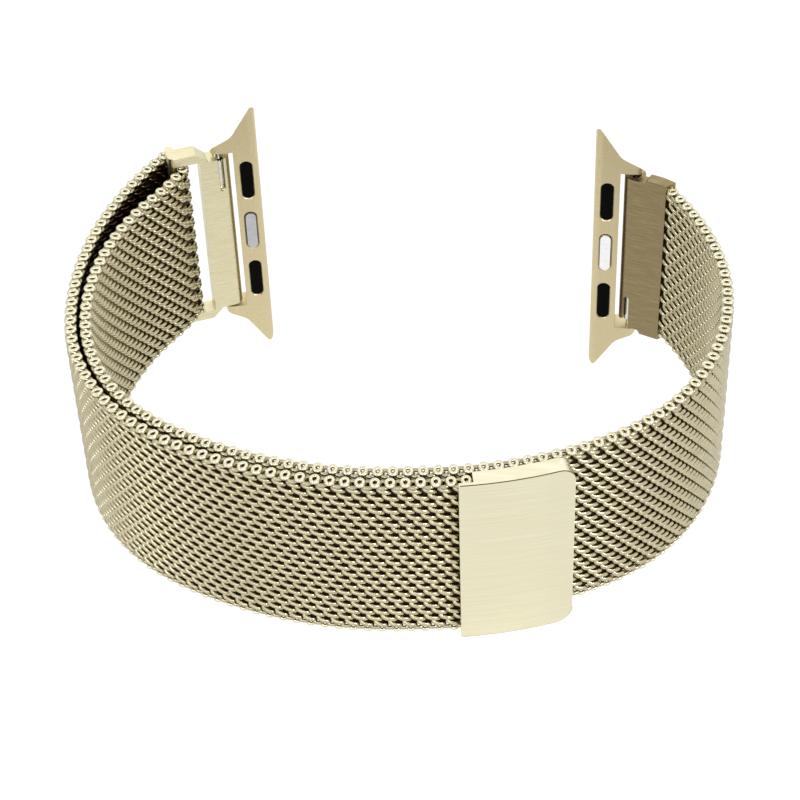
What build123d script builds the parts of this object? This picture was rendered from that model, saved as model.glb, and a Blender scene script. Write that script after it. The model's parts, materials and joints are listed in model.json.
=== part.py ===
from build123d import *
import math
import os

# Milanese loop watch band, closed for its photograph, all lengths in millimetres.
# Plan frame: X and Y lie in the plan of the loop and Z runs along the width of the strap, with
# Z = 0 halfway up. The right spring bar stands at the plan's origin, the wrist lies below it (-Y).
# At the end the finished band is turned and leaned as it stands on a table.

# Woven mesh
mesh_width = 20.0
mesh_thickness = 1.28
ring_pitch = 1.38
rib_depth = 0.20
crest_share = 0.3
layer_step = 1.45

# Bends of the inner layer, from the right end plate round the wrist to the slider loop
right_top_radius, right_top_turn = 30.2, 21.2
right_side_radius, right_side_turn = 25.4, 38.8
right_corner_radius, right_corner_turn = 21.9, 34.8
clasp_bed_radius, clasp_bed_turn = 37.6, 24.8
front_radius, front_turn = 150.0, 1.6
left_front_radius, left_front_turn = 38.7, 33.5
left_corner_radius, left_corner_turn = 20.6, 50.6
left_side_radius, left_side_turn = 27.8, 42.4
loop_lead_radius, loop_lead_turn = 22.3, 12.9

# Where the strap bends as it is put on: lengths along the inner layer from the right end plate
right_lower_hinge_place = 38.0
right_middle_hinge_place = 26.0
right_upper_hinge_place = 13.0
left_hinge_place = 84.8
peel_hinge_place = 72.0
mesh_hinge_gap = 0.10
tail_hinge_lead = 15.0

# Spring bars
knuckle_radius = 1.10
knuckle_wall = 0.45
bar_radius = 0.60
bar_wall = 0.13
bar_play = 0.04
bar_tube_inset = 0.6
tip_radius = 0.30
tip_engagement = 0.25
release_travel = 0.80
release_collar_length = 1.0
release_stem_length = 1.4
spacer_length = 11.5
spring_wire = 0.14
spring_turns = 7
spring_facets = 12
wire_facets = 6
end_gap = 0.05

# Knuckles and their release slots
knuckle_over_mesh = 0.10
slot_width = 0.64
slot_length = 4.2
foot_length = 1.2
foot_step = 0.6

# End plate of the right strap end
plate_heading = -28.0
plate_reach = 4.18
plate_drop = 0.68
plate_kink = 32.5
plate_thickness = 1.20
plate_over_mesh = 0.55
plate_relief_start = 1.45
plate_relief_end = 1.75

# Slider loop of the left strap end
loop_heading = 16.1
loop_length = 5.02
loop_bar_offset = 0.27
loop_bar_radius = 0.35
loop_bar_reach = 1.40
loop_bar_play = 0.06
fold_flat_radius = 20.0
loop_end_reach = 0.10
loop_thickness = 1.8
loop_plate_length = 2.2
loop_arm_width = 1.05
loop_window_play = 0.25
loop_shoulder_start = 1.3

# Lug adapters, the same part at both ends
right_adapter_heading = -8.0
left_adapter_heading = 5.0
adapter_thickness = 2.3
adapter_inner_depth = 0.8
adapter_bar_width = 2.65
adapter_overhang = 5.67
adapter_rail_rounding = 0.85
adapter_end_slope = 0.80
adapter_tip_radius = 0.4
notch_gap = 0.45
ear_past_bar = 0.8
ear_play = 0.07
ear_tip_height = 0.72
ear_corner_radius = 0.4
ear_side_rounding = 0.6
scoop_reach = 2.75
scoop_height = 1.95
scoop_radius = 2.0
scoop_top_reach = 0.45

# Three pills in the inner face of an adapter
pill_width = 1.2
pill_length = 4.8
pill_pitch = 6.8
pill_from_edge = 1.38
pill_rim = 0.15
pad_depth = 0.9
pad_recess = 0.05
pad_play = 0.01
button_pocket_depth = 1.55
button_thickness = 0.75
button_proud = 0.10
button_travel = 0.45
button_play = 0.05
leaf_thickness = 0.12
leaf_width = 0.8
leaf_length = 3.6
leaf_play = 0.03

# Magnetic clasp on the tail
clasp_length = 10.2
clasp_from_bed_end = 1.3
clasp_back_gap = 0.18
clasp_thickness = 1.85
clasp_cover_thickness = 0.45
clasp_over_mesh = 0.25
clasp_corner_radius = 1.6
clasp_mouth = 1.3
clasp_wall = 1.0
clasp_floor = 0.25
clasp_seam = 0.06
back_plate_thickness = 0.25
magnet_count = 2
magnet_play = 0.05

# Worked out from the sizes above
half_mesh = mesh_thickness / 2
knuckle_half = mesh_width / 2 + knuckle_over_mesh
shoulder_half = mesh_width / 2 + plate_over_mesh
ear_inside = shoulder_half + ear_play
adapter_half = ear_inside + adapter_overhang
notch_edge = -(knuckle_radius + notch_gap)
watch_edge = notch_edge - adapter_bar_width
loop_inner_half = mesh_width / 2 + loop_window_play
loop_outer_half = loop_inner_half + loop_arm_width
fold_radius = loop_bar_radius + loop_bar_play + half_mesh
fold_flat_turn = 2 * math.degrees(math.asin(loop_bar_reach / 2 / (fold_flat_radius - fold_radius)))
clasp_half = mesh_width / 2 + clasp_over_mesh
clasp_back = half_mesh + clasp_back_gap
clasp_face = clasp_back + clasp_thickness
clasp_split = clasp_face - clasp_cover_thickness
overrun = mesh_width


def unit(heading):
    """A step of length one in plan, heading in degrees from X towards Y."""
    return Vector(math.cos(math.radians(heading)), math.sin(math.radians(heading)), 0)


class Route:
    """The middle line of the mesh in plan: bends end to end, each with a length and a turn.

    A positive turn, in degrees, bends to the left of the way of travel.
    """

    def __init__(self, start, heading, bends):
        self.pieces = []
        self.length = 0
        for radius, turn in bends:
            run = radius * math.radians(abs(turn))
            self.pieces.append((self.length, run, start, heading, radius, turn))
            start, heading = self.along(self.pieces[-1], run)
            self.length += run

    def along(self, piece, run):
        """Point and heading after a run along one bend."""
        _, _, start, heading, radius, turn = piece
        side = math.copysign(1, turn)
        centre = start + unit(heading + 90 * side) * radius
        heading = heading + side * math.degrees(run / radius)
        return centre - unit(heading + 90 * side) * radius, heading

    def at(self, place):
        """Point and heading at a length from the start, carried on past either end."""
        chosen = self.pieces[0]
        for piece in self.pieces:
            if piece[0] <= place:
                chosen = piece
        return self.along(chosen, place - chosen[0])

    def beside(self, place, offset):
        """A point to the left of the middle line, which is the outer side of the loop."""
        point, heading = self.at(place)
        return point + unit(heading + 90) * offset


def inner_route():
    """Inner layer, from the mesh's end in the right end plate to the fold round the loop's bar."""
    start = unit(plate_heading) * plate_reach - unit(plate_heading + 90) * plate_drop
    bends = [
        (right_top_radius, -right_top_turn),
        (right_side_radius, -right_side_turn),
        (right_corner_radius, -right_corner_turn),
        (clasp_bed_radius, -clasp_bed_turn),
        (front_radius, -front_turn),
        (left_front_radius, -left_front_turn),
        (left_corner_radius, -left_corner_turn),
        (left_side_radius, -left_side_turn),
        (loop_lead_radius, loop_lead_turn),
    ]
    return Route(start, plate_heading - plate_kink, bends)


inner = inner_route()
bed_end = inner.pieces[4][0]
clasp_left = bed_end - clasp_from_bed_end
clasp_right = clasp_left - clasp_length
mouth_end = clasp_left - clasp_mouth
parallel_end = inner.pieces[7][0]

fold_start, fold_heading = inner.at(inner.length)
first_turn = (loop_heading + 90 - fold_flat_turn / 2 - fold_heading) % 360
inner_corner = fold_start + unit(fold_heading + 90) * fold_radius
loop_bar_centre = inner_corner + unit(loop_heading + 90) * (loop_bar_reach / 2)
fold_back = Route(fold_start, fold_heading, [(fold_radius, first_turn), (fold_flat_radius, fold_flat_turn)])


def outer_route():
    """Outer layer, from the clasp's mouth back to the fold, a layer step outside the inner one.

    It leaves the inner layer on one long bend that meets the fold round the loop's bar, which has
    a tight bend at each edge of the bar and runs nearly straight along its flat side.
    """
    start = inner.beside(mouth_end, layer_step)
    bends = [(clasp_bed_radius + layer_step, -math.degrees((bed_end - mouth_end) / clasp_bed_radius))]
    for radius, turn in (
        (front_radius, front_turn),
        (left_front_radius, left_front_turn),
        (left_corner_radius, left_corner_turn),
    ):
        bends.append((radius + layer_step, -turn))
    leaving = inner.beside(parallel_end, layer_step)
    heading = inner.at(parallel_end)[1]
    flat_end, flat_heading = fold_back.at(fold_back.length)
    outer_corner = flat_end + unit(flat_heading + 90) * fold_radius
    to_bar = outer_corner - leaving
    across = to_bar.dot(unit(heading - 90))
    radius = (to_bar.dot(to_bar) - fold_radius**2) / (2 * (across - fold_radius))
    centre = leaving + unit(heading - 90) * radius
    meeting = outer_corner - centre
    last_heading = math.degrees(math.atan2(meeting.Y, meeting.X)) - 90
    turn = (heading - last_heading) % 360
    bends.append((radius, -turn))
    back_turn = (last_heading - (flat_heading - 180)) % 360
    bends.append((fold_radius, -back_turn))
    bends.append((fold_flat_radius, -fold_flat_turn))
    bends.append((fold_radius, -first_turn))
    return Route(start, inner.at(mouth_end)[1], bends)


outer = outer_route()
fold_place = outer.pieces[5][0]


def outer_place(place):
    """The length along the outer layer beside a place on the inner one, within the front and left."""
    total = 0
    for start, length, _, _, radius, _ in inner.pieces[3:7]:
        covered = max(0, min(place, start + length) - max(mouth_end, start))
        total += covered * (radius + layer_step) / radius
    return total


def ribbed_strip(route, start, end, round_start=False, round_end=False):
    """A length of mesh: its plan outline has a crest for each ring of the edge, raised to the width."""
    count = max(1, round((end - start) / ring_pitch))
    pitch = (end - start) / count
    sides = {}
    for side in (1, -1):
        points = [route.beside(start, side * half_mesh)]
        for rib in range(count):
            place = start + rib * pitch
            points.append(route.beside(place + crest_share * pitch, side * half_mesh))
            points.append(route.beside(place + pitch / 2, side * (half_mesh - rib_depth)))
            points.append(route.beside(place + (1 - crest_share) * pitch, side * half_mesh))
        points.append(route.beside(end, side * half_mesh))
        sides[side] = points
    left, right = sides[1], sides[-1]
    edges = list(Polyline(*left).edges()) + list(Polyline(*right).edges())
    start_point, start_heading = route.at(start)
    end_point, end_heading = route.at(end)
    if round_start:
        tip = start_point - unit(start_heading) * half_mesh
        edges += list(ThreePointArc(left[0], tip, right[0]).edges())
    else:
        edges += list(Line(left[0], right[0]).edges())
    if round_end:
        tip = end_point + unit(end_heading) * half_mesh
        edges += list(ThreePointArc(left[-1], tip, right[-1]).edges())
    else:
        edges += list(Line(left[-1], right[-1]).edges())
    return extrude(make_face(edges), amount=mesh_width / 2, dir=(0, 0, 1), both=True)


def band_sector(start, end, near, far, half):
    """A curved block beside the inner layer, between two offsets from its middle line."""
    middle = (start + end) / 2
    edges = []
    for offset in (near, far):
        ends = inner.beside(start, offset), inner.beside(end, offset)
        edges += list(ThreePointArc(ends[0], inner.beside(middle, offset), ends[1]).edges())
    for place in (start, end):
        edges += list(Line(inner.beside(place, near), inner.beside(place, far)).edges())
    return extrude(make_face(edges), amount=half, dir=(0, 0, 1), both=True)


def upright(sketch, depth=overrun):
    """Raises a sketch drawn in X and Z through the thickness, both ways."""
    return extrude(Plane.XZ * sketch, amount=depth, both=True)


def rod(radius, bottom, top):
    """A round rod along the spring bar's axis."""
    return Pos(0, 0, bottom) * Cylinder(radius, top - bottom, align=(Align.CENTER, Align.CENTER, Align.MIN))


def block(left, right, near, far, bottom, top):
    """A rectangular block between its six faces."""
    size = Box(right - left, far - near, top - bottom, align=(Align.MIN, Align.MIN, Align.MIN))
    return Pos(left, near, bottom) * size


# Local frame of each end's metal parts: the spring bar's axis is Z, +X points at the strap and +Y
# points away from the wrist. The release end of the spring bar is at the lower end, -Z.


def knuckle_bore():
    """The bore that the spring bar lies in."""
    return rod(knuckle_radius - knuckle_wall, -overrun, overrun)


def release_slot():
    """The slot through the knuckle that a tool reaches the sprung tip by, round at its upper end."""
    height = slot_length - slot_width / 2
    top = -knuckle_half + height
    body = Pos(0, top - height) * Rectangle(slot_width, 2 * height)
    return upright(body + Pos(0, top) * Circle(slot_width / 2))


def end_plate():
    """Right end plate: knuckle, flat plate turned towards the mesh, relief beside each ear."""
    seat = Vector(plate_reach, -plate_drop)
    across = unit(90 - plate_kink)
    inner_corner = seat - across * (plate_thickness / 2)
    outer_corner = seat + across * (plate_thickness / 2)
    back = plate_thickness - knuckle_radius
    outline = Polyline(
        (0, -knuckle_radius),
        inner_corner,
        outer_corner,
        (plate_reach - plate_thickness, back),
        (0, back),
        close=True,
    )
    plate = extrude(make_face(outline), amount=shoulder_half, both=True)
    reach = plate_reach + plate_thickness
    side = Polyline(
        (0, knuckle_half),
        (plate_relief_start, knuckle_half),
        (plate_relief_end, shoulder_half),
        (reach, shoulder_half),
        (reach, -shoulder_half),
        (plate_relief_end, -shoulder_half),
        (plate_relief_start, -knuckle_half),
        (0, -knuckle_half),
        close=True,
    )
    plate = plate & upright(make_face(side))
    body = plate + rod(knuckle_radius, -knuckle_half, knuckle_half)
    foot = Polyline(
        (0, -knuckle_half - foot_length),
        (-2 * knuckle_radius, -knuckle_half - foot_length),
        (-2 * knuckle_radius, -knuckle_half + foot_step),
        (-knuckle_radius, -knuckle_half + foot_step),
        (0, -knuckle_half + foot_length),
        close=True,
    )
    return body - knuckle_bore() - release_slot() - upright(make_face(foot))


def loop_bar(radius, half):
    """An upright oblong bar round the far end of the loop."""
    shape = Rot(0, 0, 90) * SlotOverall(loop_bar_reach + 2 * radius, 2 * radius)
    return extrude(Pos(loop_length, loop_bar_offset) * shape, amount=half, both=True)


def slider_loop():
    """Left loop: knuckle, plate, two arms and the oblong bar that the mesh folds over."""
    near = -knuckle_radius
    far = loop_thickness - knuckle_radius
    frame = block(0, loop_length, near, far, -loop_outer_half, loop_outer_half)
    frame = frame + loop_bar(loop_bar_radius + loop_end_reach, loop_outer_half)
    reach = loop_length + loop_bar_radius + loop_end_reach
    shoulder_end = loop_shoulder_start + loop_outer_half - knuckle_half
    side = Polyline(
        (0, knuckle_half),
        (loop_shoulder_start, knuckle_half),
        (shoulder_end, loop_outer_half),
        (reach, loop_outer_half),
        (reach, -loop_outer_half),
        (shoulder_end, -loop_outer_half),
        (loop_shoulder_start, -knuckle_half),
        (0, -knuckle_half),
        close=True,
    )
    frame = frame & upright(make_face(side))
    window = block(loop_plate_length, reach + knuckle_radius, -overrun, overrun, -loop_inner_half, loop_inner_half)
    bar = loop_bar(loop_bar_radius, loop_inner_half)
    body = frame - window + bar + rod(knuckle_radius, -knuckle_half, knuckle_half)
    return body - knuckle_bore() - release_slot()


def spring_bar_tube():
    """Steel tube of the spring bar, inside the knuckle."""
    half = knuckle_half - bar_tube_inset
    return rod(bar_radius, -half, half) - rod(bar_radius - bar_wall, -overrun, overrun)


def spring_bar_fixed_tip():
    """Plug with the fixed tip: it seats in the far ear and runs down the tube as a spacer."""
    top = knuckle_half - bar_tube_inset
    plug = rod(bar_radius - bar_wall - bar_play, top - spacer_length, top)
    return plug + rod(tip_radius, top, ear_inside + tip_engagement)


def release_collar_top():
    """Upper face of the sprung tip's collar."""
    return -knuckle_half + bar_tube_inset + release_stem_length + release_collar_length


def spring_bar_release_tip():
    """Sprung tip: a collar that slides in the tube and a pin that enters the near ear."""
    top = release_collar_top()
    collar = rod(bar_radius - bar_wall - bar_play, top - release_collar_length, top)
    return collar + rod(tip_radius, -ear_inside - tip_engagement, top - release_collar_length)


def spring_bar_spring():
    """Coil spring between spacer and collar, drawn at its length when the tip is drawn in."""
    bottom = release_collar_top() + release_travel + end_gap + spring_wire / 2
    top = knuckle_half - bar_tube_inset - spacer_length - end_gap - spring_wire / 2
    radius = bar_radius - bar_wall - bar_play - spring_wire / 2
    points = []
    for step in range(spring_turns * spring_facets + 1):
        height = bottom + (top - bottom) * step / (spring_turns * spring_facets)
        points.append(unit(step * 360 / spring_facets) * radius + Vector(0, 0, height))
    path = Polyline(*points)
    wire = Plane(path @ 0, z_dir=path % 0) * RegularPolygon(spring_wire / 2, wire_facets)
    return sweep(wire, path=path, transition=Transition.RIGHT)


def pill_place():
    """Distance of the pills' middle line from the spring bar's axis."""
    return watch_edge + pill_from_edge


def pill(width, length, near, far, height, taper=0):
    """A pill-shaped solid let into the adapter's inner face, narrower with depth if it tapers."""
    shape = Rot(0, 0, 90) * SlotOverall(length, width)
    plane = Plane((pill_place(), near, height), x_dir=(1, 0, 0), z_dir=(0, 1, 0))
    return extrude(plane * shape, amount=far - near, taper=taper)


def adapter_outline():
    """The adapter's inner face without its notch: scooped ends between the rail and the ears."""
    upper = [
        (watch_edge, adapter_half),
        (watch_edge + scoop_top_reach, adapter_half),
        (watch_edge + scoop_reach, ear_inside + scoop_height),
        (ear_past_bar, ear_inside + ear_tip_height),
    ]
    radii = [adapter_tip_radius / 2, adapter_tip_radius, scoop_radius, ear_corner_radius]
    lower = [(x, -z) for x, z in reversed(upper)]
    outline = FilletPolyline(*upper, *lower, radius=radii + radii[::-1], close=True)
    return make_face(outline)


def adapter_ends(slope):
    """The outline drawn back from the inner face, shifting by the slope for each step back."""
    lead = ear_side_rounding
    depth = adapter_thickness + 2 * lead
    start = (0, -adapter_inner_depth - lead, -slope * lead)
    plane = Plane(start, x_dir=(1, 0, 0), z_dir=(0, -1, 0))
    return extrude(plane * adapter_outline(), amount=depth * math.hypot(1, slope), dir=(0, 1, slope))


def lug_adapter():
    """Sliding lug: rail that enters the watch, two ears for the spring bar, pockets for the pills."""
    face = -adapter_inner_depth
    back = face + adapter_thickness
    corners = [(watch_edge, face), (ear_past_bar, face), (ear_past_bar, back), (watch_edge, back)]
    radii = [adapter_rail_rounding, ear_side_rounding, ear_side_rounding, adapter_rail_rounding]
    section = make_face(FilletPolyline(*corners, radius=radii, close=True))
    ends = adapter_ends(-adapter_end_slope) & adapter_ends(adapter_end_slope)
    body = ends & extrude(section, amount=overrun, both=True)
    body = body - block(notch_edge, overrun, -overrun, overrun, -ear_inside, ear_inside)
    for height, depth in ((-pill_pitch, pad_depth), (0, button_pocket_depth), (pill_pitch, pad_depth)):
        body = body - pill(pill_width, pill_length, face, face + depth, height)
        rim = pill(pill_width + 2 * pill_rim, pill_length + 2 * pill_rim, face, face + pill_rim, height, 45)
        body = body - rim
    return body - rod(tip_radius + bar_play, -adapter_half, adapter_half)


def friction_pads():
    """Two rubber pads, a little below the face."""
    face = -adapter_inner_depth
    pads = []
    for height in (-pill_pitch, pill_pitch):
        near = face + pad_recess
        pads.append(pill(pill_width - pad_play, pill_length - pad_play, near, face + pad_depth, height))
    return Compound(children=pads)


def lock_button():
    """Sprung lock that snaps into the watch, a little proud of the face."""
    near = -adapter_inner_depth - button_proud
    size = 2 * button_play
    return pill(pill_width - size, pill_length - size, near, near + button_thickness, 0)


def lock_spring():
    """Bowed leaf spring under the lock, drawn as flat as the pressed lock makes it."""
    floor = -adapter_inner_depth + button_pocket_depth - leaf_play
    pressed = -adapter_inner_depth - button_proud + button_thickness + button_travel + leaf_play
    rise = floor - pressed - leaf_thickness
    ends = leaf_length / 2
    low = ThreePointArc((-ends, floor), (0, floor - rise), (ends, floor))
    high = ThreePointArc(
        (-ends, floor - leaf_thickness), (0, floor - rise - leaf_thickness), (ends, floor - leaf_thickness)
    )
    caps = [Line(low @ 0, high @ 0), Line(low @ 1, high @ 1)]
    face = make_face([low.edge(), high.edge(), caps[0].edge(), caps[1].edge()])
    plane = Plane((pill_place() - leaf_width / 2, 0, 0), x_dir=(0, 0, -1), z_dir=(1, 0, 0))
    return extrude(plane * face, amount=leaf_width)


def clasp_outline_cut(half):
    """The clasp's face seen from the front: square at the strap's side, round at the free end."""
    reach = clasp_length + overrun
    shape = Pos(reach / 2, 0) * RectangleRounded(reach, 2 * half, clasp_corner_radius)
    heading = inner.at((clasp_left + clasp_right) / 2)[1]
    free_end = inner.beside(clasp_right, clasp_face)
    plane = Plane(free_end, x_dir=unit(heading), z_dir=unit(heading + 90))
    return extrude(plane * shape, amount=overrun, both=True)


def clasp_cover():
    """Brushed front of the clasp, which reaches over the mesh in the mouth."""
    body = band_sector(clasp_right, clasp_left, clasp_split, clasp_face, clasp_half)
    return body & clasp_outline_cut(clasp_half)


def clasp_body():
    """Frame of the clasp behind the cover, with the magnets' recess open to the strap."""
    frame = band_sector(clasp_right, mouth_end, clasp_back, clasp_split, clasp_half)
    frame = frame & clasp_outline_cut(clasp_half - clasp_seam)
    return frame - clasp_recess(0, clasp_back - clasp_floor, clasp_split - clasp_floor)


def clasp_recess(play, near, far):
    """The recess in the clasp's back, or what fills it with a little play."""
    half = clasp_half - clasp_wall - play
    return band_sector(clasp_right + clasp_wall + play, mouth_end - clasp_wall - play, near, far, half)


def clasp_back_plate():
    """Thin steel plate that closes the recess towards the strap."""
    return clasp_recess(magnet_play, clasp_back, clasp_back + back_plate_thickness)


def clasp_magnets():
    """Magnets side by side in the recess."""
    near = clasp_back + back_plate_thickness
    far = clasp_split - clasp_floor
    whole = clasp_recess(magnet_play, near, far)
    span = 2 * (clasp_half - clasp_wall - magnet_play)
    magnets = []
    for count in range(magnet_count):
        bottom = -span / 2 + count * span / magnet_count + magnet_play
        top = -span / 2 + (count + 1) * span / magnet_count - magnet_play
        reach = 2 * clasp_bed_radius
        magnets.append(whole & block(-2 * reach, 2 * reach, -2 * reach, 2 * reach, bottom, top))
    return Compound(children=[m.solid() for m in magnets])


def tail_hinge():
    """Axis of the tail's bend at the left: set back along the tail, so that the layers stay clear."""
    set_back = layer_step * math.tan(math.radians(tail_hinge_lead))
    return outer_place(left_hinge_place) + set_back


def mesh_lengths():
    """All lengths of mesh, each bent about the round end of the one before."""
    far_side = half_mesh + mesh_hinge_gap
    first, second, third = right_lower_hinge_place, right_middle_hinge_place, right_upper_hinge_place
    tail_bend = tail_hinge()
    peel_bend = outer_place(peel_hinge_place)
    return {
        "mesh_front": ribbed_strip(inner, first, left_hinge_place, True, True),
        "mesh_right_a": ribbed_strip(inner, second, first - far_side, True, False),
        "mesh_right_b": ribbed_strip(inner, third, second - far_side, True, False),
        "mesh_right_c": ribbed_strip(inner, 0, third - far_side, False, False),
        "mesh_left_inner": ribbed_strip(inner, left_hinge_place + far_side, inner.length),
        "mesh_fold": ribbed_strip(outer, fold_place, outer.length),
        "mesh_left_outer": ribbed_strip(outer, tail_bend, fold_place, True, False),
        "mesh_tail_a": ribbed_strip(outer, peel_bend, tail_bend - far_side, True, False),
        "mesh_tail_b": ribbed_strip(outer, 0, peel_bend - far_side),
    }


left_bar_centre = loop_bar_centre + unit(loop_heading) * loop_length
left_bar_centre = left_bar_centre - unit(loop_heading + 90) * loop_bar_offset
to_right = Location((0, 0, 0), (0, 0, plate_heading))
to_right_adapter = Location((0, 0, 0), (0, 0, right_adapter_heading))
half_turn = Location((0, 0, 0), (0, 180, 0))
to_left = Location(tuple(left_bar_centre), (0, 0, loop_heading)) * half_turn
to_left_adapter = Location(tuple(left_bar_centre), (0, 0, left_adapter_heading)) * half_turn


def all_nodes():
    """Every piece in the plan frame, by its name."""
    nodes = dict(mesh_lengths())
    nodes["end_plate_right"] = to_right * end_plate()
    nodes["slider_loop"] = to_left * slider_loop()
    nodes["clasp_cover"] = clasp_cover()
    nodes["clasp_body"] = clasp_body()
    nodes["clasp_back_plate"] = clasp_back_plate()
    nodes["clasp_magnets"] = clasp_magnets()
    for side, bar_place, lug_place in (
        ("left", to_left, to_left_adapter),
        ("right", to_right, to_right_adapter),
    ):
        nodes["spring_bar_tube_" + side] = bar_place * spring_bar_tube()
        nodes["spring_bar_fixed_tip_" + side] = bar_place * spring_bar_fixed_tip()
        nodes["spring_bar_release_tip_" + side] = bar_place * spring_bar_release_tip()
        nodes["spring_bar_spring_" + side] = bar_place * spring_bar_spring()
        nodes["lug_adapter_" + side] = lug_place * lug_adapter()
        nodes["friction_pads_" + side] = lug_place * friction_pads()
        nodes["lock_button_" + side] = lug_place * lock_button()
        nodes["lock_spring_" + side] = lug_place * lock_spring()
    return nodes


def standing_place(nodes):
    """Turns the band so that its spring bars lie along X, leans it on the clasp's lower edge and
    the adapters' lower ends, and brings the middle of its footprint to the origin.
    """
    chord = math.degrees(math.atan2(-left_bar_centre.Y, -left_bar_centre.X))
    turned = Location((0, 0, 0), (0, 0, -chord))
    tip = Vector(watch_edge + adapter_tip_radius, -adapter_inner_depth, 0)
    back = (turned * to_right_adapter * Pos(tip)).position.Y
    front = (turned * nodes["clasp_cover"]).bounding_box().min.Y
    reach = nodes["lug_adapter_right"].bounding_box().max.Z
    lean = math.degrees(math.atan2(reach - clasp_half, back - front))
    leaned = Location((0, 0, 0), (lean, 0, 0)) * turned
    box = Compound(children=[leaned * shape for shape in nodes.values()]).bounding_box()
    centre = box.center()
    return Location((-centre.X, -centre.Y, -box.min.Z)) * leaned


def main():
    os.makedirs("parts", exist_ok=True)
    nodes = all_nodes()
    place = standing_place(nodes)
    for name, shape in nodes.items():
        export_step(place * shape, "parts/" + name + ".step")

    def report(label, point):
        spot = (place * Pos(point)).position / 1000
        print(label, [round(value, 6) for value in (spot.X, spot.Y, spot.Z)])

    report("hinge right_a", inner.at(right_lower_hinge_place)[0])
    report("hinge right_b", inner.at(right_middle_hinge_place)[0])
    report("hinge right_c", inner.at(right_upper_hinge_place)[0])
    report("hinge left", inner.at(left_hinge_place)[0])
    report("hinge tail", outer.at(tail_hinge())[0])
    report("hinge peel", outer.at(outer_place(peel_hinge_place))[0])
    report("bar right", Vector(0, 0, 0))
    report("bar left", left_bar_centre)
    origin = place.position
    for label, lug in (("right", to_right_adapter), ("left", to_left_adapter)):
        outer_face = adapter_thickness - adapter_inner_depth
        report("lock " + label, (lug * Pos(pill_place(), -adapter_inner_depth, 0)).position)
        report("rail " + label, (lug * Pos(watch_edge, outer_face - adapter_thickness / 2, 0)).position)
        report("face " + label, (lug * Pos((watch_edge + notch_edge) / 2, outer_face, 0)).position)
        inward = (place * lug * Pos(0, 1, 0)).position - (place * lug).position
        print("press " + label, [round(value, 6) for value in (inward.X, inward.Y, inward.Z)])
    upward = (place * Pos(0, 0, 1)).position - origin
    print("width axis", [round(value, 6) for value in (upward.X, upward.Y, upward.Z)])
    box = Compound(children=[place * shape for shape in nodes.values()]).bounding_box()
    print("box", box.min, box.max)
    print("inner layer", round(inner.length, 2), "outer layer", round(outer.length, 2))
    print("turns of the outer layer", [round(piece[5], 2) for piece in outer.pieces])


main()
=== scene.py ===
# %% [markdown]
# # A woven steel watch band, closed as it is worn
# The metal parts come from the CAD model as they are and only get their finishes here. The woven
# mesh is drawn new: its look comes from hundreds of thin wire coils screwed into each other, which
# a CAD solid can only stand in for. First the CAD model is loaded as a frame that never moves.

# %% Load the fixed frame
import json
import math

import bpy
import numpy as np
from mathutils import Matrix, Vector


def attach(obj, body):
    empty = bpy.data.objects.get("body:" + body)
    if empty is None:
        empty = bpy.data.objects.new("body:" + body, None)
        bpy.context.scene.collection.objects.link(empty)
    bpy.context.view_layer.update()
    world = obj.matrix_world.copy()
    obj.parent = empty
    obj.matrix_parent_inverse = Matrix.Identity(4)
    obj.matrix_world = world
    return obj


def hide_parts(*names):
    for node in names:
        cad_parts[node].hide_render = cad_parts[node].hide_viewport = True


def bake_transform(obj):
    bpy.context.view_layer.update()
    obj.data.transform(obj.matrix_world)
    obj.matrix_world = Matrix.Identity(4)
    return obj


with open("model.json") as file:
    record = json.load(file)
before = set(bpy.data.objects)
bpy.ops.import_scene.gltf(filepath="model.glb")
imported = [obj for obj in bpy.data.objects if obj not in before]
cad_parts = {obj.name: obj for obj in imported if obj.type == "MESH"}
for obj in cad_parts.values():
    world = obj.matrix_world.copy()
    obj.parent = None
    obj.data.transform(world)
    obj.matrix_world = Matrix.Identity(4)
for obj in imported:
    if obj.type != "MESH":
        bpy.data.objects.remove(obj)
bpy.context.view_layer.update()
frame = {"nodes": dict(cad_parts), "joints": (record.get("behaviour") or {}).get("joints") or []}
joints = {joint["name"]: joint for joint in frame["joints"]}

# %% [markdown]
# ## The plan of the loop
# A band like this is one long strip of mesh, so everything about it is easiest to say in the plan
# of the loop: how far along the strip, how far out from its middle, and how high across its width.
# The right spring bar stands at the plan's origin, lengths are in millimetres, and Z runs across
# the strap. The route could be a curve drawn by eye. Here it is a list of bends laid end to end,
# because then the strip keeps its length and lies just where the CAD model has it.

# %% Sizes of the strip and its bends
strap_width = 20.0
strip_thickness = 1.28
# Radius in millimetres and turn in degrees of each bend, from the right end to the left end.
bend_list = [
    (30.2, -21.2),
    (25.4, -38.8),
    (21.9, -34.8),
    (37.6, -24.8),
    (150.0, -1.6),
    (38.7, -33.5),
    (20.6, -50.6),
    (27.8, -42.4),
    (22.3, 12.9),
]
print("bends:", len(bend_list), "turning", round(sum(turn for _, turn in bend_list), 1), "degrees")


# %% Bends laid end to end
def unit(heading):
    """Steps of length one in plan, headings in degrees from X towards Y."""
    angle = np.radians(heading)
    return np.stack([np.cos(angle), np.sin(angle)], axis=-1)


def make_route(start, heading, bends):
    """Lays bends end to end. A positive turn bends to the left of the way of travel."""
    route = {"starts": [], "centres": [], "headings": [], "radii": [], "sides": []}
    place = 0.0
    for radius, turn in bends:
        side = math.copysign(1, turn)
        centre = start + unit(heading + 90 * side) * radius
        for key, value in zip(route, (place, centre, heading, radius, side)):
            route[key].append(value)
        heading = heading + turn
        start = centre - unit(heading + 90 * side) * radius
        place += radius * math.radians(abs(turn))
    route = {key: np.array(value) for key, value in route.items()}
    route["length"] = place
    return route


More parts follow.
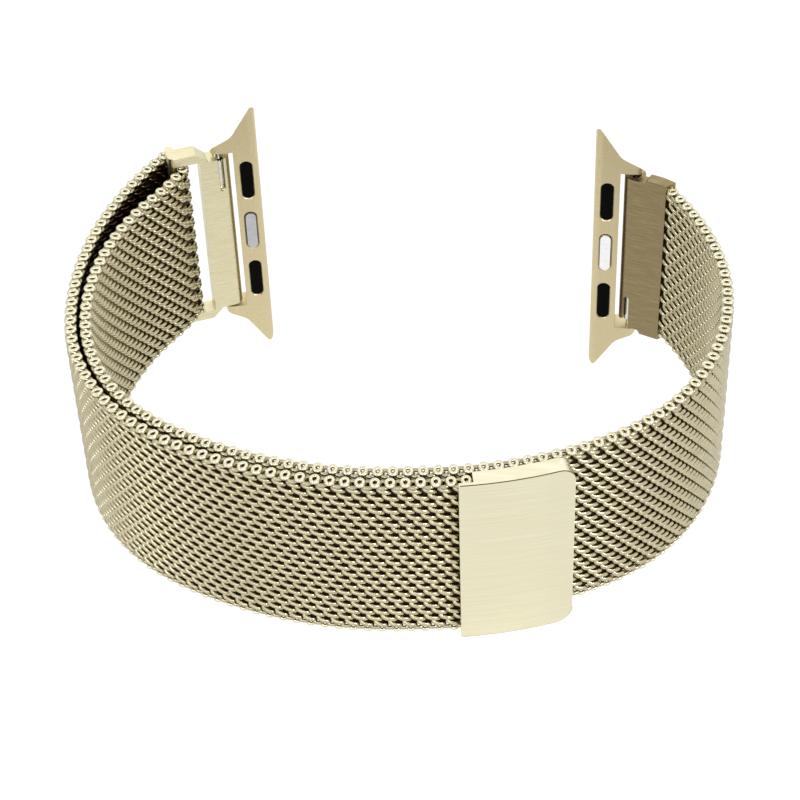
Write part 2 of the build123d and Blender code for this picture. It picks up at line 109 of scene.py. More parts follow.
def on_route(route, places, offsets=0.0):
    """Plan points at lengths along a route, offset to its left, which is the loop's outer side."""
    places = np.asarray(places, float)
    index = np.clip(np.searchsorted(route["starts"], places, side="right") - 1, 0, None)
    side, radius = route["sides"][index], route["radii"][index]
    heading = route["headings"][index]
    heading = heading + side * np.degrees((places - route["starts"][index]) / radius)
    middle = route["centres"][index] - unit(heading + 90 * side) * radius[..., None]
    return middle + unit(heading + 90) * np.asarray(offsets, float)[..., None], heading


# %% The inner layer and the clasp's places on it
plate_heading, plate_reach, plate_drop, plate_kink = -28.0, 4.18, 0.68, 32.5
clasp_bed, parallel_bends = 3, 4
clasp_from_bed_end, clasp_mouth = 1.3, 1.3

inner_start = unit(plate_heading) * plate_reach - unit(plate_heading + 90) * plate_drop
inner = make_route(inner_start, plate_heading - plate_kink, bend_list)
bed_end = inner["starts"][clasp_bed + 1]
clasp_left = bed_end - clasp_from_bed_end
mouth_end = clasp_left - clasp_mouth
parallel_end = inner["starts"][clasp_bed + parallel_bends]
print("inner layer:", round(inner["length"], 1), "mm long, clasp from", round(clasp_left, 1))

# %% [markdown]
# At the slider loop the strip folds back over a bar. The bar is oblong, so the mesh has a tight
# bend at each of its edges and a nearly straight run between them.

# %% The fold round the slider's bar
loop_heading, loop_length, loop_bar_offset = 16.1, 5.02, 0.27
fold_radius, fold_flat, fold_flat_radius = 1.05, 1.40, 20.0

fold_start, fold_heading = on_route(inner, inner["length"])
fold_flat_turn = 2 * math.degrees(math.asin(fold_flat / 2 / (fold_flat_radius - fold_radius)))
first_turn = (loop_heading + 90 - fold_flat_turn / 2 - fold_heading) % 360
inner_corner = fold_start + unit(fold_heading + 90) * fold_radius
loop_bar = inner_corner + unit(loop_heading + 90) * fold_flat / 2
fold_back = make_route(
    fold_start, fold_heading, [(fold_radius, first_turn), (fold_flat_radius, fold_flat_turn)]
)
flat_end, flat_heading = on_route(fold_back, fold_back["length"])
outer_corner = flat_end + unit(flat_heading + 90) * fold_radius
bar_left_plan = loop_bar + unit(loop_heading) * loop_length
bar_left_plan = bar_left_plan - unit(loop_heading + 90) * loop_bar_offset
print("left spring bar in the plan:", bar_left_plan.round(2))

# %% [markdown]
# The tail leaves the clasp's mouth one layer outside the inner strip and keeps beside it round the
# front. Then it swings out on one long bend, which touches the fold's circle, to the slider loop.

# %% The outer layer
layer_step = 1.45

outer_start, outer_heading = on_route(inner, mouth_end, layer_step)
clasp_bed_radius = bend_list[clasp_bed][0]
bed_left = math.degrees((bed_end - mouth_end) / clasp_bed_radius)
outer_bends = [(clasp_bed_radius + layer_step, -bed_left)]
for radius, turn in bend_list[clasp_bed + 1 : clasp_bed + parallel_bends]:
    outer_bends.append((radius + layer_step, turn))
leaving, leaving_heading = on_route(inner, parallel_end, layer_step)
to_bar = outer_corner - leaving
across = to_bar @ unit(leaving_heading - 90)
swing_radius = (to_bar @ to_bar - fold_radius**2) / (2 * (across - fold_radius))
meeting = to_bar - unit(leaving_heading - 90) * swing_radius
last_heading = math.degrees(math.atan2(meeting[1], meeting[0])) - 90
outer_bends.append((swing_radius, -((leaving_heading - last_heading) % 360)))
fold_bends = [
    (fold_radius, -((last_heading - flat_heading + 180) % 360)),
    (fold_flat_radius, -fold_flat_turn),
    (fold_radius, -first_turn),
]
outer = make_route(outer_start, outer_heading, outer_bends + fold_bends)
fold_place = outer["starts"][-len(fold_bends)]
strap_length = inner["length"] + outer["length"]
print("outer layer:", round(outer["length"], 1), "mm, fold from", round(fold_place, 1))


def on_strap(place, along, offsets):
    """Plan points near a place on the whole strap, which runs out along one layer and back."""
    if place <= inner["length"]:
        return on_route(inner, place + along, offsets)[0]
    return on_route(outer, strap_length - place + along, offsets)[0]


# %% [markdown]
# The CAD model stands on the table a little turned and leaned. Its joints say where: both lug
# adapters swing on their spring bars, and the bars' axis is the direction of the strap's width.
# Reading the place from them is safer than typing angles, and the printed miss is the proof.

# %% From the plan to the standing band
millimetre = 0.001
bar_right = np.array(joints["right_lug_swing"]["pos_m"])
bar_left = np.array(joints["left_lug_swing"]["pos_m"])
width_axis = -np.array(joints["right_lug_swing"]["axis"])
width_axis = width_axis / np.linalg.norm(width_axis)
chord_axis = (bar_right - bar_left) / np.linalg.norm(bar_right - bar_left)
deep_axis = np.cross(width_axis, chord_axis)
chord = math.atan2(-bar_left_plan[1], -bar_left_plan[0])
axis_x = chord_axis * math.cos(chord) - deep_axis * math.sin(chord)
axis_y = chord_axis * math.sin(chord) + deep_axis * math.cos(chord)
standing = np.stack([axis_x, axis_y, width_axis])


def stand(points):
    """Plan points in millimetres, as metres on the standing band."""
    return bar_right + (np.asarray(points, float) @ standing) * millimetre


bar_miss = np.linalg.norm(stand([*bar_left_plan, 0]) - bar_left) / millimetre
print("left spring bar found within", round(bar_miss, 4), "mm")

# %% [markdown]
# ## Camera
# The camera looks down on the loop from in front, through a long lens. Its place was found by
# fitting the rows of rings along both edges of the mesh, so it is given in the plan and carried
# through the same placing as the band.

# %% Camera
camera_plan = (-25.35, -193.75, 162.24)
camera_pitch, camera_roll = math.radians(43.361), math.radians(-2.3218)
focal_pixels, picture_pixels, sensor_width = 2366.88, 800, 36.0

forward = np.array([0, math.cos(camera_pitch), -math.sin(camera_pitch)])
level_right = np.array([1.0, 0, 0])
level_up = np.array([0, math.sin(camera_pitch), math.cos(camera_pitch)])
camera_right = math.cos(camera_roll) * level_right + math.sin(camera_roll) * level_up
camera_up = math.cos(camera_roll) * level_up - math.sin(camera_roll) * level_right
camera_axes = np.stack([camera_right, camera_up, -forward]) @ standing

camera_data = bpy.data.cameras.new("photo_camera")
camera_data.sensor_width = sensor_width
camera_data.lens = sensor_width * focal_pixels / picture_pixels
camera_data.clip_start = 0.01
camera = bpy.data.objects.new("photo_camera", camera_data)
bpy.context.scene.collection.objects.link(camera)
placed = Matrix([list(row) for row in camera_axes.T]).to_4x4()
placed.translation = Vector(stand(camera_plan))
camera.matrix_world = placed
bpy.context.scene.camera = camera
camera_place = [round(value, 3) for value in placed.translation]
print("camera lens", round(camera_data.lens, 1), "mm at", camera_place)

# %% [markdown]
# ## Finishes
# Every colour is a hex value as a designer would pick it on a screen, turned to the linear light
# that the renderer works in. One small function adds a node with its settings and its links.
# Patterns could be pictures wrapped round the parts. Noise made by nodes is used instead: it has
# no seams on curved metal, and its grain can be given in millimetres.


# %% Colour and node helpers
def linear(hex_colour):
    """An sRGB hex colour as linear red, green, blue and alpha."""
    parts = [int(hex_colour[i : i + 2], 16) / 255 for i in (1, 3, 5)]
    parts = [p / 12.92 if p <= 0.04045 else ((p + 0.055) / 1.055) ** 2.4 for p in parts]
    return (*parts, 1.0)


def add_node(tree, kind, settings=None, **links):
    """Adds a node, sets its properties, and fills its inputs with values or nodes' outputs.

    An input goes by Blender's name for it, or by its number, as input6, where names repeat.
    """
    node = tree.nodes.new(kind)
    for name, value in (settings or {}).items():
        setattr(node, name, value)
    for name, value in links.items():
        key = name.replace("_", " ")
        number = key.removeprefix("input")
        socket = node.inputs[int(number) if number.isdigit() else key]
        if isinstance(value, bpy.types.NodeSocket):
            tree.links.new(value, socket)
        else:
            socket.default_value = value
    return node


def new_finish(name, colour, metallic, roughness):
    """A finish with its plain values set on the shader itself."""
    finish = bpy.data.materials.new(name)
    finish.use_nodes = True
    shader = finish.node_tree.nodes["Principled BSDF"]
    shader.inputs["Base Color"].default_value = linear(colour)
    shader.inputs["Metallic"].default_value = metallic
    shader.inputs["Roughness"].default_value = roughness
    finish.diffuse_color = linear(colour)
    return finish, finish.node_tree, shader


def strap_coordinates(tree, along, across=None):
    """Coordinates that stand upright with the strap, where one pattern cell has a size in mm.

    The size across the strap is the same as along it and out of it, unless it is given.
    """
    source = add_node(tree, "ShaderNodeTexCoord")
    lean = math.asin(-width_axis[1])
    size = 1 / (along * millimetre)
    upright = add_node(
        tree,
        "ShaderNodeMapping",
        Vector=source.outputs["Object"],
        Rotation=(-lean, 0, 0),
        Scale=(size, size, 1 / ((across or along) * millimetre)),
    )
    return upright.outputs["Vector"]


# %% [markdown]
# ### Champagne coated wire
# The wire is stainless steel with a thin vapour-deposited coat in a pale gold that tends to
# champagne. It is drawn smooth, so it is fairly shiny, and the coat varies a little, in patches
# hardly wider than a coil. A fine noise breaks the highlights up as drawing marks do. Between the
# two layers and in the slots between the eyelets hardly any light gets in, so the wires there get a
# painted shade of deep brown. The eyelets themselves are ground level and polished, and their paler
# colour is a painted highlight for the light they reflect. The points of each woven piece carry two
# numbers from 0 to 1 for this painted shade and highlight, and the colour follows them.

# %% Wire finish
mark_depth = 0.01 * millimetre
wire_finish, tree, shader = new_finish("champagne_coated_wire", "#C2B99A", 1.0, 0.25)
patches = add_node(
    tree, "ShaderNodeTexNoise", Vector=strap_coordinates(tree, 0.9), Scale=1.0, Detail=2.0
)
tint = add_node(
    tree,
    "ShaderNodeMix",
    {"data_type": "RGBA"},
    input0=patches.outputs["Fac"],
    input6=linear("#AFA687"),
    input7=linear("#CCC4A6"),
)
# Painted highlight: the eyelets are coloured paler for the bright light they reflect.
painted_sheen = add_node(tree, "ShaderNodeAttribute", {"attribute_name": "painted_sheen_eyelet"})
with_painted_sheen = add_node(
    tree,
    "ShaderNodeMix",
    {"data_type": "RGBA"},
    input0=painted_sheen.outputs["Fac"],
    input6=tint.outputs[2],
    input7=linear("#DCD6BA"),
)
# Painted shade: wires between the layers and in the slots between the eyelets are darkened to a
# deep brown.
painted_shade = add_node(tree, "ShaderNodeAttribute", {"attribute_name": "painted_shade_wire"})
with_painted_shade = add_node(
    tree,
    "ShaderNodeMix",
    {"data_type": "RGBA"},
    input0=painted_shade.outputs["Fac"],
    input6=with_painted_sheen.outputs[2],
    input7=linear("#4A3424"),
)
tree.links.new(with_painted_shade.outputs[2], shader.inputs["Base Color"])
marks = add_node(
    tree, "ShaderNodeTexNoise", Vector=strap_coordinates(tree, 0.06), Scale=1.0, Detail=1.0
)
scuffs = add_node(
    tree, "ShaderNodeBump", Strength=0.12, Distance=mark_depth, Height=marks.outputs["Fac"]
)
tree.links.new(scuffs.outputs["Normal"], shader.inputs["Normal"])
print("finish:", wire_finish.name)

# %% [markdown]
# Between the wires the light dies in many reflections. What is left looks nearly black with a warm
# cast, so the core inside the mesh has that colour and no shine.

# %% Shadowed core
core_finish, tree, shader = new_finish("shadowed_wire_core", "#4A3E28", 0.0, 0.9)
depths = add_node(
    tree, "ShaderNodeTexNoise", Vector=strap_coordinates(tree, 0.35), Scale=1.0, Detail=2.0
)
shade = add_node(
    tree,
    "ShaderNodeMix",
    {"data_type": "RGBA"},
    input0=depths.outputs["Fac"],
    input6=linear("#3A2F1C"),
    input7=linear("#5E5038"),
)
tree.links.new(shade.outputs[2], shader.inputs["Base Color"])
shader.inputs["Specular IOR Level"].default_value = 0.1
print("finish:", core_finish.name)

# %% [markdown]
# ### Blasted lug adapters
# The adapters are turned matte with glass beads before they are coated, which leaves tiny dents
# about a tenth of a millimetre wide. They are drawn a little coarser here so that they show.

# %% Blasted finish
dent_depth = 0.03 * millimetre
blasted_finish, tree, shader = new_finish("bead_blasted_champagne_steel", "#D3C69E", 1.0, 0.46)
dents = add_node(
    tree, "ShaderNodeTexNoise", Vector=strap_coordinates(tree, 0.16), Scale=1.0, Detail=3.0
)
grain = add_node(
    tree,
    "ShaderNodeMix",
    {"data_type": "RGBA"},
    input0=dents.outputs["Fac"],
    input6=linear("#C3B48A"),
    input7=linear("#E2D7B2"),
)
tree.links.new(grain.outputs[2], shader.inputs["Base Color"])
pits = add_node(
    tree, "ShaderNodeBump", Strength=0.35, Distance=dent_depth, Height=dents.outputs["Fac"]
)
tree.links.new(pits.outputs["Normal"], shader.inputs["Normal"])
print("finish:", blasted_finish.name)

# %% [markdown]
# ### Satin plates and the brushed clasp
# The end plate and the slider loop are satin; the end plate is coloured a darker tone, which is
# painted shade for the shade on its face. The clasp's front is brushed along the strap: fine
# parallel scratches up to nine millimetres long and less than a tenth of a millimetre apart, which
# stretch every highlight across them. Of the two silver lock buttons the right one is polished, and
# its much paler colour is a painted reflection of the white room. One way of making serves all of
# them, with other colours and scratches: a noise that is stretched along the strap.

# %% Brushed finishes
faintest, deepest = 0.3, 0.7
roughness_spread = 0.08
scratch_depth = 0.02 * millimetre


def brushed_finish(name, dark, light, roughness, scratch_length, scratch_pitch, strength):
    """Steel with scratches along the strap, drawn by a noise that is stretched along them."""
    finish, tree, shader = new_finish(name, light, 1.0, roughness)
    lines = add_node(
        tree,
        "ShaderNodeTexNoise",
        Vector=strap_coordinates(tree, scratch_length, scratch_pitch),
        Scale=1.0,
        Detail=3.0,
        Roughness=0.6,
    )
    contrast = add_node(
        tree,
        "ShaderNodeMapRange",
        Value=lines.outputs["Fac"],
        input1=faintest,
        input2=deepest,
    )
    tint = add_node(
        tree,
        "ShaderNodeMix",
        {"data_type": "RGBA"},
        input0=contrast.outputs["Result"],
        input6=linear(dark),
        input7=linear(light),
    )
    tree.links.new(tint.outputs[2], shader.inputs["Base Color"])
    rough = add_node(
        tree,
        "ShaderNodeMapRange",
        Value=lines.outputs["Fac"],
        input1=faintest,
        input2=deepest,
        input3=roughness + roughness_spread,
        input4=roughness - roughness_spread,
    )
    tree.links.new(rough.outputs["Result"], shader.inputs["Roughness"])
    scratches = add_node(
        tree,
        "ShaderNodeBump",
        Strength=strength,
        Distance=scratch_depth,
        Height=lines.outputs["Fac"],
    )
    tree.links.new(scratches.outputs["Normal"], shader.inputs["Normal"])
    print("finish:", finish.name)


# %% The finishes that are brushed or polished
# Name, darker and lighter tone, roughness, scratch length and pitch in mm, strength of the bump.
brushed_finishes = [
    ("brushed_champagne_steel", "#DAD4B6", "#E4DFC4", 0.34, 9.0, 0.08, 0.15),
    ("satin_champagne_steel", "#D1C9A4", "#DFD8B6", 0.32, 2.0, 0.10, 0.12),
    # Painted shade: the end plate's darker tone stands for the shade on its face.
    ("satin_steel_painted_shade", "#847656", "#998A67", 0.34, 2.0, 0.10, 0.12),
    ("bright_stainless_steel", "#C9C8C4", "#E6E5E1", 0.22, 1.0, 0.10, 0.1),
    ("satin_silver_steel", "#B5B5B7", "#C4C4C6", 0.38, 1.0, 0.12, 0.1),
    # Painted reflection: the right lock button's pale colour stands for the white room it mirrors.
    ("silver_steel_painted_reflection", "#F0F0F2", "#FAFAFC", 0.2, 1.0, 0.12, 0.05),
    ("nickel_plated_magnet", "#A9A8A6", "#C9C8C6", 0.18, 2.0, 0.4, 0.05),
    ("plain_spring_steel", "#77787A", "#8E8F91", 0.35, 1.0, 0.1, 0.1),
]
for row in brushed_finishes:
    brushed_finish(*row)

# %% [markdown]
# ### Rubber pads
# The two pads on each adapter are moulded black rubber, which grips the watch. Rubber is not a
# metal: it keeps its own dark colour. Its skin is slightly rough and takes up grease, so hardly
# any gloss is left on it.

# %% Rubber finish
rubber_finish, tree, shader = new_finish("moulded_black_rubber", "#151515", 0.0, 0.55)
skin = add_node(
    tree, "ShaderNodeTexNoise", Vector=strap_coordinates(tree, 0.12), Scale=1.0, Detail=2.0
)
shade = add_node(
    tree,
    "ShaderNodeMix",
    {"data_type": "RGBA"},
    input0=skin.outputs["Fac"],
    input6=linear("#040404"),
    input7=linear("#0B0B0B"),
)
tree.links.new(shade.outputs[2], shader.inputs["Base Color"])
shader.inputs["Specular IOR Level"].default_value = 0.04
print("finish:", rubber_finish.name)

# %% [markdown]
# ## Finishes on the CAD parts
# The turned and stamped parts keep their CAD shapes. Each gets the finish that the real part has,
# found by the first word in this list that its name starts with.

# %% Dress the CAD parts
finish_by_word = {
    "lug_adapter": "bead_blasted_champagne_steel",
    "friction_pads": "moulded_black_rubber",
    # The right lock button's paler finish is a painted reflection.
    "lock_button_right": "silver_steel_painted_reflection",
    "lock_button": "satin_silver_steel",
    "lock_spring": "plain_spring_steel",
    "spring_bar_spring": "plain_spring_steel",
    "spring_bar": "bright_stainless_steel",
    "clasp_magnets": "nickel_plated_magnet",
    "clasp_back_plate": "bright_stainless_steel",
    "clasp": "brushed_champagne_steel",
    # The end plate gets the darker finish, which is painted shade.
    "end_plate": "satin_steel_painted_shade",
    "slider_loop": "satin_champagne_steel",
    "mesh": "champagne_coated_wire",
}
for name, node in frame["nodes"].items():
    chosen = next(finish for word, finish in finish_by_word.items() if name.startswith(word))
    node.data.materials.clear()
    node.data.materials.append(bpy.data.materials[chosen])
print("dressed", len(frame["nodes"]), "CAD parts")

# %% [markdown]
# ## The woven mesh
# Milanese mesh is made of flattened wire coils that lie across the strap. Each coil is screwed
# through its neighbour, half a turn out of step, so that strands of two coils lie side by side in
# rows like bricks. All coils have the same hand, so the strands lean the same way all over. A
# strand runs nearly along the strap on both faces and turns down steeply where it dives inside.
# A flat strip with a bump map would be quicker, but its edge would stay straight and nothing would
# show between the wires, so each coil is drawn as a wire of its own.

# %% Sizes of the weave
wire_diameter = 0.49
coil_pitch = 0.69
turn_pitch = 1.73
coil_half_width = 0.66
coil_half_height = (strip_thickness - wire_diameter) / 2
coil_places = np.arange(coil_pitch / 2, strap_length, coil_pitch)
print("coils:", len(coil_places), "each", coil_pitch, "mm from the next")

# %% [markdown]
# At both edges every second coil is closed into a small flat ring, which gives the edge its row of
# eyelets. The coils between are closed a little lower into wider rings, and the dark slots between
# the eyelets are the insides of those, with a painted shade on their wires.

# %% Sizes of the edge rings
ring_wire = 0.40
ring_half_height = (strip_thickness - ring_wire) / 2
eyelet_half_width, between_half_width = 0.35, 0.50
ring_step_down = 0.29
ring_turns = 1.1
ring_level = (strap_width - ring_wire) / 2
print("eyelets:", round(2 * (ring_half_height + ring_wire / 2), 2), "mm wide, both edges")

# %% [markdown]
# A coil's line is a screw that is squeezed nearly square. The last half turn before each edge
# narrows, and one more turn lies flat as a ring.

# %% The middle line of one coil
strand_ease = 0.5
coil_squareness = 0.75
closing_turns = 0.5
points_per_turn = 14


def squared(wave, power):
    """A wave between -1 and 1 with fuller corners where the power is lower."""
    return np.sign(wave) * np.abs(wave) ** power


def coil_line(number):
    """One coil's middle line, along the strip, out and up in mm, its wire's radius and how far
    it has closed into a ring.
    """
    between = number % 2
    level = ring_level - between * ring_step_down
    ring_half_width = between_half_width if between else eyelet_half_width
    edge_turns = level / turn_pitch
    most = edge_turns + ring_turns
    turns = np.linspace(-most, most, int(2 * most * points_per_turn) + 1)
    closing = np.clip((np.abs(turns) - edge_turns) / closing_turns + 1, 0, 1)
    angle = 2 * np.pi * (turns + between / 2)
    power = coil_squareness + (1 - coil_squareness) * closing
    half_width = coil_half_width + (ring_half_width - coil_half_width) * closing
    half_height = coil_half_height + (ring_half_height - coil_half_height) * closing
    along = squared(np.cos(angle), power) * half_width
    out = squared(np.sin(angle), power) * half_height
    eased = turns + strand_ease * np.sin(2 * angle) / (4 * np.pi)
    height = np.clip(-eased * turn_pitch, -level, level)
    radius = (wire_diameter + (ring_wire - wire_diameter) * closing) / 2
    return along, out, height, radius, closing


print("turns in a coil:", round(2 * ring_level / turn_pitch, 1))

# %% [markdown]
# How much painted shade a wire between the two layers gets depends on how far inside it lies. The
# clasp's end of the tail can be peeled open, so no shade is painted there.

# %% Painted shade between the layers
always_shut = 24.0
face_blend = 0.3
below_rings_from, below_rings_blend = 0.25, 0.4


def painted_shade_between_layers(place, out, height):
    """How much painted shade a point of wire gets between the two layers, from 0 to 1."""
    on_inner = place <= inner["length"]
    from_mouth = place - mouth_end if on_inner else strap_length - place
    if from_mouth < always_shut:
        return np.zeros(len(out))
    facing = out if on_inner else -out
    painted_shade = np.clip((facing + face_blend / 2) / face_blend, 0, 1)
    below = (ring_level - below_rings_from - np.abs(height)) / below_rings_blend
    return painted_shade * np.clip(below, 0, 1)


shaded = strap_length - 2 * always_shut - mouth_end
print("shaded between the layers:", round(shaded, 1), "mm of both together")

# %% [markdown]
# A coil's points are laid beside the strip's route, so that it bends where the strip bends. A
# tube is then drawn round the line: at each point a small polygon stands square to the wire, and
# neighbouring polygons are joined by quads. Blender can thicken a curve object into a wire too.
# Here it is done on the mesh, because each corner then carries its own numbers for the painted
# shade and highlight.


# %% A tube round a line
def steps_along(line):
    """Directions of length one along a line of points."""
    travel = np.gradient(line, axis=0)
    return travel / np.linalg.norm(travel, axis=1)[:, None]


def tube(line, side, radius, sides, start=0):
    """Corners and faces of a closed tube, with directions square to its line, numbered on."""
    top = np.cross(steps_along(line), side)
    spokes = 2 * np.pi * np.arange(sides) / sides
    polygon = side[:, None] * np.cos(spokes)[None, :, None]
    polygon = polygon + top[:, None] * np.sin(spokes)[None, :, None]
    corners = (line[:, None] + polygon * radius[:, None, None]).reshape(-1, 3)
    rows = np.arange(len(line) - 1)[:, None] * sides + start
    column = np.arange(sides)[None, :]
    after = (column + 1) % sides
    quads = [rows + column, rows + after, rows + sides + after, rows + sides + column]
    faces = np.stack(quads, axis=-1).reshape(-1, 4).tolist()
    faces.append(list(range(start + sides - 1, start - 1, -1)))
    end = start + len(corners)
    faces.append(list(range(end - sides, end)))
    return corners, faces


# %% Coils as tubes
wire_sides = 6
# Painted shade inside the wider rings, in the slots between the eyelets.
painted_slot_shade, slot_reach = 0.8, 1.15


def coil_tubes(first, last):
    """Corners, faces, and painted shade and highlight numbers of all coils between two lengths
    along the strap.
    """
    corners, faces, shading = [], [], []
    count = 0
    for number, place in enumerate(coil_places):
        if not first <= place < last:
            continue
        along, out, height, radius, closing = coil_line(number)
        line = np.column_stack([on_strap(place, along, out), height])
        side = np.cross(steps_along(line), [0, 0, 1.0])
        side = side / np.linalg.norm(side, axis=1)[:, None]
        coil_corners, coil_faces = tube(line, side, radius, wire_sides, count)
        # Painted shade on wires between the two layers.
        painted_shade = painted_shade_between_layers(place, out, height)
        # Painted highlight on the eyelets.
        painted_sheen = closing**4
        # Painted shade in the slots: the wider rings between the eyelets are darkened.
        if number % 2:
            inside = np.clip(slot_reach - np.abs(out) / ring_half_height, 0, 1)
            painted_shade = np.maximum(painted_shade, painted_slot_shade * closing**2 * inside)
            painted_sheen = np.zeros(len(line))
        shading.append(np.repeat(np.stack([painted_shade, painted_sheen]), wire_sides, axis=1))
        corners.append(coil_corners)
        faces.extend(coil_faces)
        count += len(coil_corners)
    return np.concatenate(corners), faces, np.concatenate(shading, axis=1)


# %% [markdown]
# Looking into the mesh, the eye meets wire behind wire until no light comes back: nothing shines
# through a real strap. A thin dark core along the middle of the strip stands for that depth. It
# follows the same route and belongs to the same piece of mesh.

# %% The dark inside
core_half = 0.02
core_level = strap_width / 2 - 0.75
core_step = 0.35


def core_strip(first, last, count):
    """Corners and faces of the core between two lengths along the strap, numbered on."""
    steps = max(2, int((last - first) / core_step) + 1)
    corners = []
    for place in np.linspace(first, last, steps):
        for offset, level in ((1, 1), (-1, 1), (-1, -1), (1, -1)):
            point = on_strap(place, 0.0, offset * core_half)
            corners.append((*point, level * core_level))
    faces = [[count + 3, count + 2, count + 1, count]]
    for start in range(count, count + 4 * (steps - 1), 4):
        for corner in range(4):
            after = (corner + 1) % 4
            faces.append([start + corner, start + after, start + 4 + after, start + 4 + corner])
    end = count + 4 * (steps - 1)
    faces.append([end, end + 1, end + 2, end + 3])
    return np.array(corners), faces


# %% [markdown]
# Coils and core of one length of mesh become one object. Its wires are smooth and its core is flat,
# and the two numbers for the painted shade and the painted highlight are stored on its points.


# %% One woven piece
def new_object(name, points, faces, *finishes):
    """A mesh object from points on the standing band, linked into the scene."""
    mesh = bpy.data.meshes.new(name)
    mesh.from_pydata(points.tolist(), [], faces)
    for finish in finishes:
        mesh.materials.append(finish)
    piece = bpy.data.objects.new(name, mesh)
    bpy.context.scene.collection.objects.link(piece)
    return piece


def woven_piece(name, first, last):
    """One length of woven mesh as an object, with its core."""
    corners, faces, shading = coil_tubes(first, last)
    core_corners, core_faces = core_strip(first, last, len(corners))
    points = stand(np.concatenate([corners, core_corners]))
    piece = new_object(name, points, faces + core_faces, wire_finish, core_finish)
    in_wire = [True] * len(faces) + [False] * len(core_faces)
    piece.data.polygons.foreach_set("use_smooth", in_wire)
    piece.data.polygons.foreach_set("material_index", [0 if wire else 1 for wire in in_wire])
    for label, values in zip(("painted_shade_wire", "painted_sheen_eyelet"), shading):
        numbers = piece.data.attributes.new(label, "FLOAT", "POINT")
        numbers.data.foreach_set("value", [*values, *[0.0] * len(core_corners)])
    piece.data.update()
    print("woven:", name, len(faces), "faces")
    return piece


def outer_end(place):
    """Length along the whole strap of a place on the outer layer, which runs back from the fold."""
    return strap_length - place


# %% [markdown]
# The strap bends at a few hinges in the CAD model. Each length of mesh here reaches from the middle
# of one rigid part to the middle of the next, over the hinge between.

# %% Mesh on the right side
bend_reach = 6.0
right_upper, right_middle, right_lower = 13.0, 26.0, 38.0
upper_end = (right_upper + right_middle) / 2
middle_end = (right_middle + right_lower) / 2

upper = woven_piece("woven_right_upper", 0, upper_end)
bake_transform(upper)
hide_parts("mesh_right_c")

middle = woven_piece("woven_right_middle", upper_end, middle_end)
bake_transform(middle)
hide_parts("mesh_right_b")

lower = woven_piece("woven_right_lower", middle_end, clasp_left)
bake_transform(lower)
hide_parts("mesh_right_a")

# %% [markdown]
# The front lies still, the left side swings out at one hinge, and the fold and the outer layer go
# with it. The length of mesh over that hinge is a piece of its own, attached to neither side.

# %% Mesh on the front and the left side
left_bend = 84.8

front = woven_piece("woven_front", clasp_left, left_bend - bend_reach)
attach(front, "front")
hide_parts("mesh_front")

corner = woven_piece("woven_left_corner", left_bend - bend_reach, left_bend + 2 * bend_reach)
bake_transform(corner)

left_inner = woven_piece("woven_left_inner", left_bend + 2 * bend_reach, inner["length"])
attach(left_inner, "left_side")
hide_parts("mesh_left_inner")

# %% [markdown]
# The tail keeps its place on the front while the left side swings. Its end is a piece of its own,
# which starts halfway between the tail's bend and the clasp's peel.

# %% Mesh of the outer layer and the tail
tail_bend = 30.8
peel_bend, peel_reach = 17.2, 13.0
tail_start = outer_end(tail_bend + bend_reach)
tail_end_start = outer_end((tail_bend + peel_bend) / 2)

left_outer = woven_piece("woven_left_outer", inner["length"], tail_start)
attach(left_outer, "left_side")
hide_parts("mesh_left_outer", "mesh_fold")

tail = woven_piece("woven_tail_bend", tail_start, tail_end_start)
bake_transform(tail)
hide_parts("mesh_tail_a")

peel = woven_piece("woven_tail_end", tail_end_start, strap_length)
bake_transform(peel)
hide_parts("mesh_tail_b")

# %% [markdown]
# ## The line round the clasp's front
# The clasp's brushed front is a plate of its own, and where it meets the frame a fine dark line
# runs along its upper and lower edges and round the corners of the free end. A thread of shadow
# colour a tenth of a millimetre thick, half sunk into the edge, is the plainest way to show it.

# %% Sizes and colour of the clasp's line
clasp_length, clasp_corner = 10.2, 1.6
clasp_back_gap, clasp_thickness, clasp_over_mesh = 0.18, 1.85, 0.25
clasp_face = strip_thickness / 2 + clasp_back_gap + clasp_thickness
clasp_half = strap_width / 2 + clasp_over_mesh
line_radius, line_sides, line_points, line_inset = 0.06, 6, 30, 0.1
corner_angles = np.radians(np.arange(10, 91, 10))
line_finish, tree, shader = new_finish("shadow_in_clasp_joint", "#6E6546", 0.0, 0.8)
print("clasp face:", round(clasp_face, 2), "mm out from the middle of the strap")


# %% Line along the clasp's edges
def clasp_line(name, side):
    """One edge's thread from the clasp's mouth to the end of its rounded corner, as an object."""
    free_end = clasp_left - clasp_length
    corner_reach = clasp_corner / ((clasp_bed_radius + clasp_face) / clasp_bed_radius)
    places = list(np.linspace(clasp_left - line_inset, free_end + corner_reach, line_points))
    levels = [clasp_half] * len(places)
    for angle in corner_angles:
        places.append(free_end + corner_reach * (1 - math.sin(angle)))
        levels.append(clasp_half - clasp_corner * (1 - math.cos(angle)))
    plan, heading = on_route(inner, np.array(places), clasp_face - line_radius)
    line = np.column_stack([plan, side * np.array(levels)])
    out = np.column_stack([unit(heading + 90), np.zeros(len(line))])
    corners, faces = tube(line, out, np.full(len(line), line_radius), line_sides)
    thread = new_object(name, stand(corners), faces, line_finish)
    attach(thread, "clasp")
    print("line:", name, len(faces), "faces")


clasp_line("clasp_line_upper", 1)
clasp_line("clasp_line_lower", -1)

# %% [markdown]
# ## Floor, light and background
# The band stands on a white table in plain studio light. Metal shows mostly what is around it, so
# the surroundings matter more than the lamps: a large soft box above and behind, three small ones
# at the left, the right and the front, and the pale room. A backdrop could be a bent sheet behind
# the band. A wide floor that looks white to the camera and in the metal does the same, and still
# takes a soft shadow. The Standard view then shows the colours as they are written.

# %% Floor
floor_reach = 3.0
floor_level = -0.0001


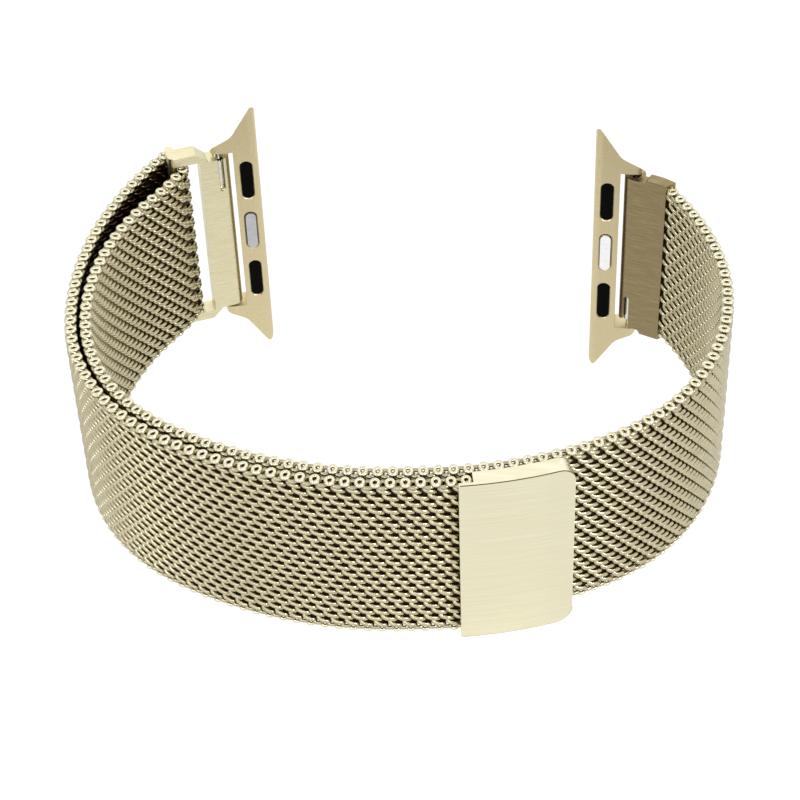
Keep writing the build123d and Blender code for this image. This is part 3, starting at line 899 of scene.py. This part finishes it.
def seen_rays(tree):
    """One for rays that show a surface: to the camera, in metal, or through glass."""
    rays = add_node(tree, "ShaderNodeLightPath")
    shown = rays.outputs["Is Camera Ray"]
    for kind in ("Is Glossy Ray", "Is Transmission Ray"):
        also = rays.outputs[kind]
        both = add_node(
            tree, "ShaderNodeMath", {"operation": "MAXIMUM"}, input0=shown, input1=also
        )
        shown = both.outputs[0]
    return shown


floor_finish = bpy.data.materials.new("white_table")
floor_finish.use_nodes = True
tree = floor_finish.node_tree
tree.nodes.clear()
matte = add_node(tree, "ShaderNodeBsdfDiffuse", Color=(0.8, 0.8, 0.8, 1))
glow = add_node(tree, "ShaderNodeEmission", Color=(1, 1, 1, 1), Strength=0.93)
pale = add_node(tree, "ShaderNodeBsdfDiffuse", Color=(0.3, 0.3, 0.3, 1))
bright = add_node(tree, "ShaderNodeAddShader", input0=glow.outputs[0], input1=pale.outputs[0])
mixed = add_node(
    tree,
    "ShaderNodeMixShader",
    input0=seen_rays(tree),
    input1=matte.outputs[0],
    input2=bright.outputs[0],
)
add_node(tree, "ShaderNodeOutputMaterial", Surface=mixed.outputs[0])
floor_corners = [
    (x * floor_reach, y * floor_reach, floor_level) for x, y in ((-1, -1), (1, -1), (1, 1), (-1, 1))
]
floor = new_object("floor", np.array(floor_corners), [(0, 1, 2, 3)], floor_finish)
print("floor:", floor_finish.name, 2 * floor_reach, "m wide")

# %% Pale room
world = bpy.data.worlds.new("pale_room")
bpy.context.scene.world = world
world.use_nodes = True
tree = world.node_tree
tree.nodes.clear()
room = add_node(tree, "ShaderNodeBackground", Color=(1, 1, 1, 1), Strength=0.10)
backdrop = add_node(tree, "ShaderNodeBackground", Color=(1, 1, 1, 1), Strength=1.0)
mixed = add_node(
    tree,
    "ShaderNodeMixShader",
    input0=seen_rays(tree),
    input1=room.outputs[0],
    input2=backdrop.outputs[0],
)
add_node(tree, "ShaderNodeOutputWorld", Surface=mixed.outputs[0])
print("room:", world.name)

# %% Lamps
loop_middle = Vector((0, 0, 0.015))


def soft_box(name, place, width, height, power):
    """A rectangular area lamp that points at the band, sizes in metres and power in watts."""
    lamp_data = bpy.data.lights.new(name, "AREA")
    lamp_data.shape = "RECTANGLE"
    lamp_data.size = width
    lamp_data.size_y = height
    lamp_data.energy = power
    lamp = bpy.data.objects.new(name, lamp_data)
    bpy.context.scene.collection.objects.link(lamp)
    facing = (loop_middle - Vector(place)).to_track_quat("-Z", "Y")
    lamp.matrix_world = Matrix.Translation(Vector(place)) @ facing.to_matrix().to_4x4()
    print("lamp:", name, power, "W")


soft_box("box_behind", (0, 0.36, 0.36), 1.0, 0.50, 0.6)
soft_box("box_left", (-0.30, -0.30, 0.34), 0.14, 0.14, 0.45)
soft_box("box_right", (0.34, -0.22, 0.30), 0.14, 0.14, 0.9)
soft_box("box_front", (0.0, -0.45, 0.20), 0.30, 0.12, 0.3)
bpy.context.scene.view_settings.view_transform = "Standard"
